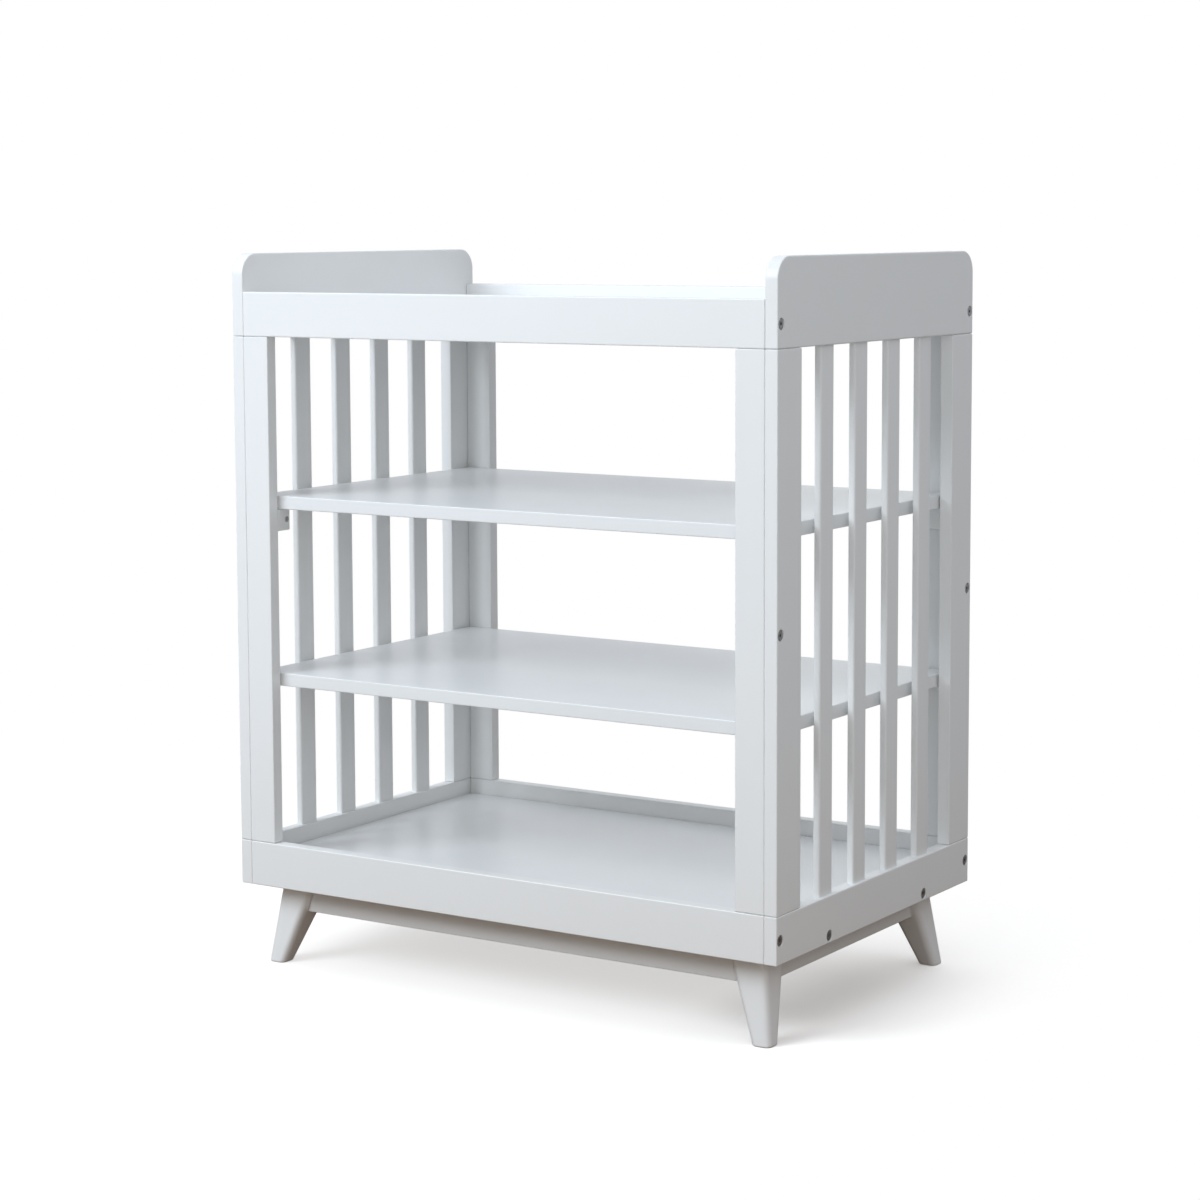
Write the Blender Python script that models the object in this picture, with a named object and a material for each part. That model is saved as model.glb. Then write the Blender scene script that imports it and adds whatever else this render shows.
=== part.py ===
"""A white painted changing table: two slatted side panels, open front and back frames, a changing
tray, three shelves and a splayed leg base, held together with connector bolts.

Every length is in metres. X runs across the width, Y from the front to the back, Z up.
The origin is on the floor, under the middle of the table.
"""

import math

import bmesh
import bpy

# Whole table
WIDTH = 0.846
DEPTH = 0.537
HEIGHT = 0.979
LEG_HEIGHT = 0.113
BOARD = 0.018
GAP = 0.0003
EASED_EDGE = 0.001
SMOOTH_ANGLE = math.radians(35)

# Side panels
SIDE_TOP_RAIL_HEIGHT = 0.1115
SIDE_TOP_RADIUS = 0.029
SIDE_TOP_STEPS = 10
BOTTOM_RAIL_HEIGHT = 0.061
POST_WIDTH = 0.060
SLAT_COUNT = 4
SLAT_WIDTH = 0.034
SLAT_THICKNESS = 0.010
SLAT_EDGE_RADIUS = 0.002
SLAT_EDGE_STEPS = 2
SLAT_HOUSING = 0.012

# Front and back frames
TOP_RAIL_HEIGHT = 0.060
STILE_WIDTH = 0.041
TENON_LENGTH = 0.020
TENON_THICKNESS = 0.008
TENON_SHOULDER = 0.009
POST_TENON_SHOULDER = 0.014

# Shelves and changing tray
UPPER_SHELF_TOP = 0.651
MIDDLE_SHELF_TOP = 0.408
BOTTOM_SHELF_TOP = 0.151
SHELF_END_GAP = 0.0025
SHELF_EDGE_GAP = 0.002
FITTED_GAP = 0.001
CHANGING_BOARD = 0.010
TRAY_CLEAT_HEIGHT = 0.010
TRAY_CLEAT_DEPTH = 0.018
TRAY_CLEAT_INSET = 0.005
TRAY_CLEAT_LIFT = 0.0015
BLOCK_WIDTH = 0.041
BLOCK_DEPTH = 0.025
BLOCK_HEIGHT = 0.030

# Leg base
BATTEN_WIDTH = 0.070
LEG_TOP_INSET = 0.039
LEG_TOP_SIZE = 0.054
LEG_BOTTOM_INSET = 0.024
LEG_BOTTOM_SIZE = 0.027
LEG_EDGE_RADIUS = 0.0085
LEG_EDGE_STEPS = 5
APRON_HEIGHT = 0.040
APRON_INSET = 0.046

# Connector bolts
BOLT_SIDES = 12
BOLT_LENGTH = 0.050
BOLT_HEAD_RADIUS = 0.0068
BOLT_HEAD_HEIGHT = 0.0025
BOLT_HEAD_SINK = 0.0008
BOLT_HEAD_CHAMFER = 0.0006
BOLT_SHANK_RADIUS = 0.003
SOCKET_RADIUS = 0.0023
SOCKET_DEPTH = 0.0016
HOLE_RADIUS = 0.0035
COUNTERBORE_RADIUS = 0.0074
HOLE_OVERSHOOT = 0.002
BASE_BOLT_Y = 0.136

# Levels and planes that several pieces share
OUTER_X = WIDTH / 2
INNER_X = OUTER_X - BOARD
BOTTOM_SEAM = LEG_HEIGHT + BOTTOM_RAIL_HEIGHT
TOP_SEAM = HEIGHT - SIDE_TOP_RAIL_HEIGHT
FRAME_TOP = TOP_SEAM + TOP_RAIL_HEIGHT
INSIDE_DEPTH = DEPTH - 2 * BOARD
BATTEN_TOP = BOTTOM_SHELF_TOP - BOARD - GAP

PAINT = {"colour": (0.86, 0.88, 0.88, 1.0), "roughness": 0.38, "metallic": 0.0}
SHELF_PAINT = {"colour": (0.84, 0.86, 0.87, 1.0), "roughness": 0.28, "metallic": 0.0}
STEEL = {"colour": (0.32, 0.33, 0.34, 1.0), "roughness": 0.35, "metallic": 0.9}

SIDES = {"left": -1, "right": 1}
ENDS = {"front": 1, "back": -1}


def clear_scene():
    """Remove whatever the file opened with."""
    for item in list(bpy.data.objects):
        bpy.data.objects.remove(item, do_unlink=True)


def finish_material(name, finish):
    """A Principled BSDF with one finish's colour, roughness and metallic value."""
    material = bpy.data.materials.new(name)
    material.use_nodes = True
    shader = material.node_tree.nodes["Principled BSDF"]
    shader.inputs["Base Color"].default_value = finish["colour"]
    shader.inputs["Roughness"].default_value = finish["roughness"]
    shader.inputs["Metallic"].default_value = finish["metallic"]
    return material


def from_front(distance):
    """The Y of a plane this far behind the front face."""
    return distance - DEPTH / 2


def rounded_ring(centre, size, radius, steps=1):
    """A rectangle's outline with its corners rounded by steps chords, anticlockwise."""
    points = []
    quarter = math.pi / 2
    for corner, (sign_u, sign_v) in enumerate(((1, 1), (-1, 1), (-1, -1), (1, -1))):
        corner_u = centre[0] + sign_u * (size[0] / 2 - radius)
        corner_v = centre[1] + sign_v * (size[1] / 2 - radius)
        for step in range(steps + 1):
            angle = quarter * (corner + step / steps)
            point_u = corner_u + radius * math.cos(angle)
            point_v = corner_v + radius * math.sin(angle)
            points.append((point_u, point_v))
    return points


def round_ring(centre, radius):
    """A circle's outline as a regular polygon."""
    points = []
    for side in range(BOLT_SIDES):
        angle = 2 * math.pi * side / BOLT_SIDES
        point_u = centre[0] + radius * math.cos(angle)
        point_v = centre[1] + radius * math.sin(angle)
        points.append((point_u, point_v))
    return points


def hexagon_ring(centre, radius):
    """A hexagon's outline with a point in the middle of each side, to match a round ring."""
    points = []
    middle = radius * math.cos(math.pi / 6)
    for side in range(BOLT_SIDES):
        angle = 2 * math.pi * side / BOLT_SIDES
        reach = radius if side % 2 == 0 else middle
        point_u = centre[0] + reach * math.cos(angle)
        point_v = centre[1] + reach * math.sin(angle)
        points.append((point_u, point_v))
    return points


def placed(axis, along, point):
    """The point of a section in space: X sections hold (Y, Z), Y hold (X, Z), Z hold (X, Y)."""
    first, second = point
    if axis == "X":
        return (along, first, second)
    if axis == "Y":
        return (first, along, second)
    return (first, second, along)


def add_loft(mesh, axis, sections):
    """Join outlines of equal point counts, each at its place along the axis, and cap both ends."""
    rings = []
    for along, outline in sections:
        rings.append([mesh.verts.new(placed(axis, along, point)) for point in outline])
    for first, second in zip(rings, rings[1:]):
        for index, vertex in enumerate(first):
            follow = (index + 1) % len(first)
            mesh.faces.new((vertex, first[follow], second[follow], second[index]))
    mesh.faces.new(rings[0])
    mesh.faces.new(rings[-1])


def new_object(name, mesh, finish=None):
    """Turn a bmesh into an object whose faces point out. With no finish it is a hidden cutter."""
    bmesh.ops.recalc_face_normals(mesh, faces=mesh.faces)
    data = bpy.data.meshes.new(name)
    mesh.to_mesh(data)
    mesh.free()
    item = bpy.data.objects.new(name, data)
    bpy.context.scene.collection.objects.link(item)
    if finish is None:
        item.hide_render = True
        item.display_type = "WIRE"
    else:
        data.materials.append(finish_material(name, finish))
    return item


def loft(name, axis, sections, finish):
    """One closed piece from sections along an axis."""
    mesh = bmesh.new()
    add_loft(mesh, axis, sections)
    return new_object(name, mesh, finish)


def cut(item, lofts):
    """Cut closed lofts, each given as (axis, sections), out of a piece."""
    mesh = bmesh.new()
    for axis, sections in lofts:
        add_loft(mesh, axis, sections)
    cutter = new_object(item.name + "_cutter", mesh)
    boolean = item.modifiers.new("joinery", "BOOLEAN")
    boolean.operation = "DIFFERENCE"
    boolean.solver = "EXACT"
    boolean.object = cutter


def stretched(low, high):
    """The centre and length of a span."""
    return (low + high) / 2, high - low


def board(name, low, high, finish=PAINT):
    """A flat board between two corners, with its edges eased along its longest side."""
    lengths = [high[i] - low[i] for i in range(3)]
    along = lengths.index(max(lengths))
    across = [i for i in range(3) if i != along]
    first, second = (stretched(low[i], high[i]) for i in across)
    centre = (first[0], second[0])
    size = (first[1], second[1])
    outline = rounded_ring(centre, size, EASED_EDGE)
    sections = [(low[along], outline), (high[along], outline)]
    return loft(name, "XYZ"[along], sections, finish)


def tenoned_bar(name, centre, size, tenon, bottom, top, finish=PAINT):
    """An upright bar whose two ends are reduced to a tenon of the given width and thickness."""
    body = rounded_ring(centre, size, EASED_EDGE)
    reduced = rounded_ring(centre, tenon, EASED_EDGE)
    sections = [
        (bottom - TENON_LENGTH, reduced),
        (bottom, reduced),
        (bottom, body),
        (top, body),
        (top, reduced),
        (top + TENON_LENGTH, reduced),
    ]
    return loft(name, "Z", sections, finish)


def pocket(centre, size, opening, depth, direction):
    """A cutter for a mortise with a running gap all round, sunk along Z from its opening."""
    roomy = (size[0] + 2 * GAP, size[1] + 2 * GAP)
    outline = rounded_ring(centre, roomy, EASED_EDGE)
    outside = opening - direction * HOLE_OVERSHOOT
    inside = opening + direction * (depth + GAP)
    return "Z", [(outside, outline), (inside, outline)]


def bolt_hole(side, y, z, start, depth):
    """A cutter for a plain blind hole along X, from the plane start towards the middle."""
    outline = round_ring((y, z), HOLE_RADIUS)
    outside = side * (start + HOLE_OVERSHOOT)
    inside = side * (start - depth)
    return "X", [(outside, outline), (inside, outline)]


def counterbored_hole(side, y, z):
    """A cutter through a side panel, wide at the outer face for the bolt's head."""
    wide = round_ring((y, z), COUNTERBORE_RADIUS)
    narrow = round_ring((y, z), HOLE_RADIUS)
    shelf = OUTER_X - BOLT_HEAD_SINK - BOLT_HEAD_HEIGHT - GAP
    stations = [
        (OUTER_X + HOLE_OVERSHOOT, wide),
        (shelf, wide),
        (shelf, narrow),
        (INNER_X - HOLE_OVERSHOOT, narrow),
    ]
    return "X", [(side * along, outline) for along, outline in stations]


def bolt(name, side, y, z):
    """A flat-headed connector bolt with a hexagon socket, pointing towards the middle."""
    place = (y, z)
    face = OUTER_X - BOLT_HEAD_SINK
    stations = [
        (face - SOCKET_DEPTH, hexagon_ring(place, SOCKET_RADIUS)),
        (face, hexagon_ring(place, SOCKET_RADIUS)),
        (face, round_ring(place, BOLT_HEAD_RADIUS - BOLT_HEAD_CHAMFER)),
        (face - BOLT_HEAD_CHAMFER, round_ring(place, BOLT_HEAD_RADIUS)),
        (face - BOLT_HEAD_HEIGHT, round_ring(place, BOLT_HEAD_RADIUS)),
        (face - BOLT_HEAD_HEIGHT, round_ring(place, BOLT_SHANK_RADIUS)),
        (face - BOLT_LENGTH, round_ring(place, BOLT_SHANK_RADIUS)),
    ]
    sections = [(side * along, outline) for along, outline in stations]
    item = loft(name, "X", sections, STEEL)
    item.data.shade_smooth()
    item.data.set_sharp_from_angle(angle=SMOOTH_ANGLE)


def bolt_depth(start):
    """How deep a bolt's hole runs below the plane where it enters a frame member."""
    return start - (OUTER_X - BOLT_HEAD_SINK - BOLT_LENGTH) + HOLE_OVERSHOOT


def frame_bolt_y(end):
    """The Y of the bolts that run into the front or the back frame, in the frame's middle."""
    return -end * (DEPTH / 2 - BOARD / 2)


def bolt_levels():
    """The heights of the bolts into a frame: top rail, stile and bottom rail."""
    return {
        "upper": TOP_SEAM + TOP_RAIL_HEIGHT / 2,
        "middle": (TOP_SEAM + BOTTOM_SEAM) / 2,
        "lower": LEG_HEIGHT + BOTTOM_RAIL_HEIGHT / 2,
    }


def slat_centres():
    """The Y of each slat's middle, with equal gaps from post to post."""
    room = DEPTH - 2 * POST_WIDTH
    gap = (room - SLAT_COUNT * SLAT_WIDTH) / (SLAT_COUNT + 1)
    first = -room / 2 + gap + SLAT_WIDTH / 2
    return [first + index * (gap + SLAT_WIDTH) for index in range(SLAT_COUNT)]


def post_centre(end):
    """The Y of a side panel's front or back post."""
    return -end * (DEPTH - POST_WIDTH) / 2


def post_tenon():
    """The (X, Y) size of the tenons on the side panels' posts."""
    return (TENON_THICKNESS, POST_WIDTH - 2 * POST_TENON_SHOULDER)


def stile_tenon():
    """The (X, Y) size of the tenons on the front and back stiles."""
    return (STILE_WIDTH - 2 * TENON_SHOULDER, TENON_THICKNESS)


def panel_mortises(side, opening, direction):
    """Cutters for a side rail's mortises: one for each post and each slat."""
    middle_x = side * (OUTER_X - BOARD / 2)
    cutters = []
    for end in ENDS.values():
        centre = (middle_x, post_centre(end))
        cutters.append(pocket(centre, post_tenon(), opening, TENON_LENGTH, direction))
    for y in slat_centres():
        size = (SLAT_THICKNESS, SLAT_WIDTH)
        cutters.append(pocket((middle_x, y), size, opening, SLAT_HOUSING, direction))
    return cutters


def rounded_rail_outline():
    """A side panel's top rail seen from the side, as (Y, Z) points with rounded top corners."""
    low_y = from_front(0)
    high_y = from_front(DEPTH)
    points = [(low_y, TOP_SEAM), (high_y, TOP_SEAM)]
    for sign in (1, -1):
        centre_y = sign * (high_y - SIDE_TOP_RADIUS)
        centre_z = HEIGHT - SIDE_TOP_RADIUS
        for step in range(SIDE_TOP_STEPS + 1):
            share = step / SIDE_TOP_STEPS
            turn = share if sign > 0 else 1 - share
            angle = turn * math.pi / 2
            y = centre_y + sign * SIDE_TOP_RADIUS * math.cos(angle)
            points.append((y, centre_z + SIDE_TOP_RADIUS * math.sin(angle)))
    return points


def build_side_rails(name, side):
    """A side panel's top and bottom rails, with their mortises and bolt holes."""
    outline = rounded_rail_outline()
    sections = [(side * INNER_X, outline), (side * OUTER_X, outline)]
    top_rail = loft(name + "_panel_top_rail", "X", sections, PAINT)
    levels = bolt_levels()
    holes = [counterbored_hole(side, frame_bolt_y(end), levels["upper"]) for end in ENDS.values()]
    cut(top_rail, panel_mortises(side, TOP_SEAM, 1) + holes)

    planes = sorted((side * INNER_X, side * OUTER_X))
    low = (planes[0], from_front(0), LEG_HEIGHT)
    high = (planes[1], from_front(DEPTH), BOTTOM_SEAM)
    bottom_rail = board(name + "_panel_bottom_rail", low, high)
    holes = [counterbored_hole(side, frame_bolt_y(end), levels["lower"]) for end in ENDS.values()]
    holes += [counterbored_hole(side, y, base_bolt_z()) for y in base_bolt_ys()]
    cut(bottom_rail, panel_mortises(side, BOTTOM_SEAM, -1) + holes)


def build_side_uprights(name, side):
    """A side panel's two posts and its slats."""
    middle_x = side * (OUTER_X - BOARD / 2)
    bottom = BOTTOM_SEAM + GAP
    top = TOP_SEAM - GAP
    for end_name, end in ENDS.items():
        centre = (middle_x, post_centre(end))
        size = (BOARD, POST_WIDTH)
        post_name = f"{name}_panel_{end_name}_post"
        post = tenoned_bar(post_name, centre, size, post_tenon(), bottom, top)
        cut(post, [counterbored_hole(side, frame_bolt_y(end), bolt_levels()["middle"])])
    for index, y in enumerate(slat_centres(), start=1):
        size = (SLAT_THICKNESS, SLAT_WIDTH)
        outline = rounded_ring((middle_x, y), size, SLAT_EDGE_RADIUS, SLAT_EDGE_STEPS)
        sections = [(BOTTOM_SEAM - SLAT_HOUSING, outline), (TOP_SEAM + SLAT_HOUSING, outline)]
        loft(f"{name}_panel_slat_{index}", "Z", sections, PAINT)


def frame_depth(end):
    """The front and back planes, in Y, of the front or the back frame."""
    outer = from_front(0) if end > 0 else from_front(DEPTH)
    return sorted((outer, outer + end * BOARD))


def build_frame(name, end):
    """The front or back frame: two rails, and two stiles tenoned between them."""
    low_y, high_y = frame_depth(end)
    reach = INNER_X - GAP
    middle_y = (low_y + high_y) / 2
    stile_x = reach - STILE_WIDTH / 2
    levels = bolt_levels()
    rails = (
        ("top", TOP_SEAM, FRAME_TOP, TOP_SEAM, 1, levels["upper"]),
        ("bottom", LEG_HEIGHT, BOTTOM_SEAM, BOTTOM_SEAM, -1, levels["lower"]),
    )
    for rail_name, low_z, high_z, seam, direction, level in rails:
        low = (-reach, low_y, low_z)
        high = (reach, high_y, high_z)
        rail = board(f"{name}_{rail_name}_rail", low, high)
        cutters = []
        for side in SIDES.values():
            centre = (side * stile_x, middle_y)
            cutters.append(pocket(centre, stile_tenon(), seam, TENON_LENGTH, direction))
            cutters.append(bolt_hole(side, middle_y, level, reach, bolt_depth(reach)))
        cut(rail, cutters)
    for side_name, side in SIDES.items():
        centre = (side * stile_x, middle_y)
        size = (STILE_WIDTH, BOARD)
        stile_name = f"{name}_{side_name}_stile"
        bottom = BOTTOM_SEAM + GAP
        stile = tenoned_bar(stile_name, centre, size, stile_tenon(), bottom, TOP_SEAM - GAP)
        cut(stile, [bolt_hole(side, middle_y, levels["middle"], reach, bolt_depth(reach))])


def build_shelves():
    """The upper, middle and bottom shelves and the changing board."""
    loose_x = INNER_X - SHELF_END_GAP
    loose_y = INSIDE_DEPTH / 2 - SHELF_EDGE_GAP
    fitted_x = INNER_X - FITTED_GAP
    fitted_y = INSIDE_DEPTH / 2 - FITTED_GAP
    boards = (
        ("upper_shelf", loose_x, loose_y, UPPER_SHELF_TOP, BOARD),
        ("middle_shelf", loose_x, loose_y, MIDDLE_SHELF_TOP, BOARD),
        ("bottom_shelf", fitted_x, fitted_y, BOTTOM_SHELF_TOP, BOARD),
        ("changing_board", fitted_x, fitted_y, changing_board_top(), CHANGING_BOARD),
    )
    for name, reach_x, reach_y, top, thickness in boards:
        board(name, (-reach_x, -reach_y, top - thickness), (reach_x, reach_y, top), SHELF_PAINT)


def changing_board_top():
    """The height of the surface that the changing mat lies on."""
    return TOP_SEAM + TRAY_CLEAT_LIFT + TRAY_CLEAT_HEIGHT + GAP + CHANGING_BOARD


def build_supports():
    """The cleats under the changing board and the corner blocks under the upper shelf."""
    inside = INSIDE_DEPTH / 2 - GAP
    for end_name, end in ENDS.items():
        planes = sorted((-end * inside, -end * (inside - TRAY_CLEAT_DEPTH)))
        reach = INNER_X - TRAY_CLEAT_INSET
        low_z = TOP_SEAM + TRAY_CLEAT_LIFT
        low = (-reach, planes[0], low_z)
        high = (reach, planes[1], low_z + TRAY_CLEAT_HEIGHT)
        board(f"tray_{end_name}_cleat", low, high)
        for side_name, side in SIDES.items():
            outer = INNER_X - GAP
            across = sorted((side * outer, side * (outer - BLOCK_WIDTH)))
            depth = sorted((-end * inside, -end * (inside - BLOCK_DEPTH)))
            top = UPPER_SHELF_TOP - BOARD - GAP
            low = (across[0], depth[0], top - BLOCK_HEIGHT)
            high = (across[1], depth[1], top)
            board(f"corner_block_{end_name}_{side_name}", low, high)


def base_bolt_ys():
    """The Y of the two bolts through each side panel into its base batten."""
    return [-(DEPTH / 2 - BASE_BOLT_Y), DEPTH / 2 - BASE_BOLT_Y]


def base_bolt_z():
    """The height of the bolts into the base battens, in the battens' middle."""
    return (LEG_HEIGHT + BATTEN_TOP) / 2


def build_battens():
    """The two base battens that carry the bottom shelf and that the legs are fixed to."""
    for side_name, side in SIDES.items():
        outer = INNER_X - GAP
        planes = sorted((side * outer, side * (outer - BATTEN_WIDTH)))
        reach = INSIDE_DEPTH / 2 - GAP
        low = (planes[0], -reach, LEG_HEIGHT)
        high = (planes[1], reach, BATTEN_TOP)
        batten = board(f"base_batten_{side_name}", low, high)
        holes = [bolt_hole(side, y, base_bolt_z(), outer, bolt_depth(outer)) for y in base_bolt_ys()]
        cut(batten, holes)


def leg_section(side, end, top):
    """A leg's outline at its top or its foot, which stands further out and is smaller."""
    inset = LEG_TOP_INSET if top else LEG_BOTTOM_INSET
    size = LEG_TOP_SIZE if top else LEG_BOTTOM_SIZE
    centre_x = side * (OUTER_X - inset - size / 2)
    centre_y = -end * (DEPTH / 2 - inset - size / 2)
    return rounded_ring((centre_x, centre_y), (size, size), LEG_EDGE_RADIUS, LEG_EDGE_STEPS)


def leg_inner_reach(z, half_span):
    """How far from the middle a leg's inner face stands at a height, under a case of this half span."""
    top = half_span - LEG_TOP_INSET - LEG_TOP_SIZE
    bottom = half_span - LEG_BOTTOM_INSET - LEG_BOTTOM_SIZE
    share = z / (LEG_HEIGHT - GAP)
    return bottom + (top - bottom) * share


def build_legs():
    """Four tapered legs that splay outwards."""
    for end_name, end in ENDS.items():
        for side_name, side in SIDES.items():
            foot = leg_section(side, end, top=False)
            head = leg_section(side, end, top=True)
            sections = [(0.0, foot), (LEG_HEIGHT - GAP, head)]
            leg = loft(f"leg_{end_name}_{side_name}", "Z", sections, PAINT)
            leg.data.shade_smooth()
            leg.data.set_sharp_from_angle(angle=SMOOTH_ANGLE)


def apron_sections(along_x):
    """An apron's outlines at its bottom and top edges; its ends follow the legs' slanted faces."""
    case_span = OUTER_X if along_x else DEPTH / 2
    outer = (DEPTH / 2 if along_x else OUTER_X) - APRON_INSET
    middle = outer - BOARD / 2
    sections = []
    for z in (LEG_HEIGHT - GAP - APRON_HEIGHT, LEG_HEIGHT - GAP):
        length = 2 * (leg_inner_reach(z, case_span) - GAP)
        sections.append((z, middle, length))
    return sections


def build_aprons():
    """Four aprons between the legs, set back under the case."""
    for name, sign in (("front", -1), ("back", 1)):
        sections = []
        for z, middle, length in apron_sections(along_x=True):
            outline = rounded_ring((0.0, sign * middle), (length, BOARD), EASED_EDGE)
            sections.append((z, outline))
        loft(f"apron_{name}", "Z", sections, PAINT)
    for name, sign in (("left", -1), ("right", 1)):
        sections = []
        for z, middle, length in apron_sections(along_x=False):
            outline = rounded_ring((sign * middle, 0.0), (BOARD, length), EASED_EDGE)
            sections.append((z, outline))
        loft(f"apron_{name}", "Z", sections, PAINT)


def build_bolts():
    """Eight connector bolts through each side panel."""
    for side_name, side in SIDES.items():
        for end_name, end in ENDS.items():
            for level_name, z in bolt_levels().items():
                name = f"bolt_{side_name}_{end_name}_{level_name}"
                bolt(name, side, frame_bolt_y(end), z)
        for end_name, y in zip(ENDS, base_bolt_ys()):
            bolt(f"bolt_{side_name}_{end_name}_base", side, y, base_bolt_z())


def main():
    """Build the whole table."""
    clear_scene()
    for name, side in SIDES.items():
        build_side_rails(name, side)
        build_side_uprights(name, side)
    for name, end in ENDS.items():
        build_frame(name, end)
    build_shelves()
    build_supports()
    build_battens()
    build_legs()
    build_aprons()
    build_bolts()


main()
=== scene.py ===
"""The finished look of a white painted changing table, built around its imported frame.

Every length is in metres. X runs across the width, Y from the front to the back, Z up.
"""

import logging
import math
from dataclasses import dataclass
from enum import Enum
from typing import Callable, Iterable, Sequence

import bmesh
import bpy
from mathutils import Matrix, Vector

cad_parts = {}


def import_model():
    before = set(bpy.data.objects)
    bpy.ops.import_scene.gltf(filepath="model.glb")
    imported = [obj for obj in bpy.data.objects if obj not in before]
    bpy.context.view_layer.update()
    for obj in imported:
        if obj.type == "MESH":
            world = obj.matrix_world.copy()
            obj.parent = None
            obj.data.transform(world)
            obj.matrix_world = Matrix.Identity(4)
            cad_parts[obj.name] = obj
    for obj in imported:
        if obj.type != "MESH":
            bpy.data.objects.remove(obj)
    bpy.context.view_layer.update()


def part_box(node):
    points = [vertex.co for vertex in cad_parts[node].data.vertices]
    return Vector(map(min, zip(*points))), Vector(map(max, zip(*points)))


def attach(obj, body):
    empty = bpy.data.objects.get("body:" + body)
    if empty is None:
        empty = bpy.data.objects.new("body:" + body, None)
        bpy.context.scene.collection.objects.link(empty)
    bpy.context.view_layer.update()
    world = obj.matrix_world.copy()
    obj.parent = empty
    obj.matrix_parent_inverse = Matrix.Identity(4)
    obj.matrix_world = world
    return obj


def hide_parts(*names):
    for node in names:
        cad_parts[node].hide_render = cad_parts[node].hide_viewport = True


LOG = logging.getLogger("changing_table")
BODY = "root"
PREFIX = "finished_"
EDGE_MARK = "edge"
HAIRLINE = 0.0003
CUTTER_OVERRUN = 0.001
FLAT_GUARD = 0.0012
SMOOTH_ANGLE = math.radians(40)

Colour = tuple[float, float, float]
Outline = list[tuple[float, float]]
Profile = Sequence[tuple[float, float]]
Rings = Sequence[Sequence[Vector]]


class Side(Enum):
    """The two slatted side panels, by the sign of X."""

    LEFT = -1
    RIGHT = 1

    @property
    def label(self) -> str:
        """The word used in names."""
        return self.name.lower()


class End(Enum):
    """The front and the back of the table, by the sign of Y."""

    FRONT = -1
    BACK = 1

    @property
    def label(self) -> str:
        """The word used in names."""
        return self.name.lower()


class Grain(Enum):
    """The way the wood runs under the paint, as how fast its figure changes along X, Y and Z."""

    ACROSS = (0.04, 1.0, 1.0)
    DEEP = (1.0, 0.04, 1.0)
    UPRIGHT = (1.0, 1.0, 0.04)


class Slot(Enum):
    """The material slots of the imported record."""

    CASE = "case_paint"
    SLAT = "slat_paint"
    SHELF = "shelf_paint"
    LEG = "leg_paint"
    SUPPORT = "support_paint"
    STEEL = "bolt_steel"


# ---------------------------------------------------------------- shader graphs


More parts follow.
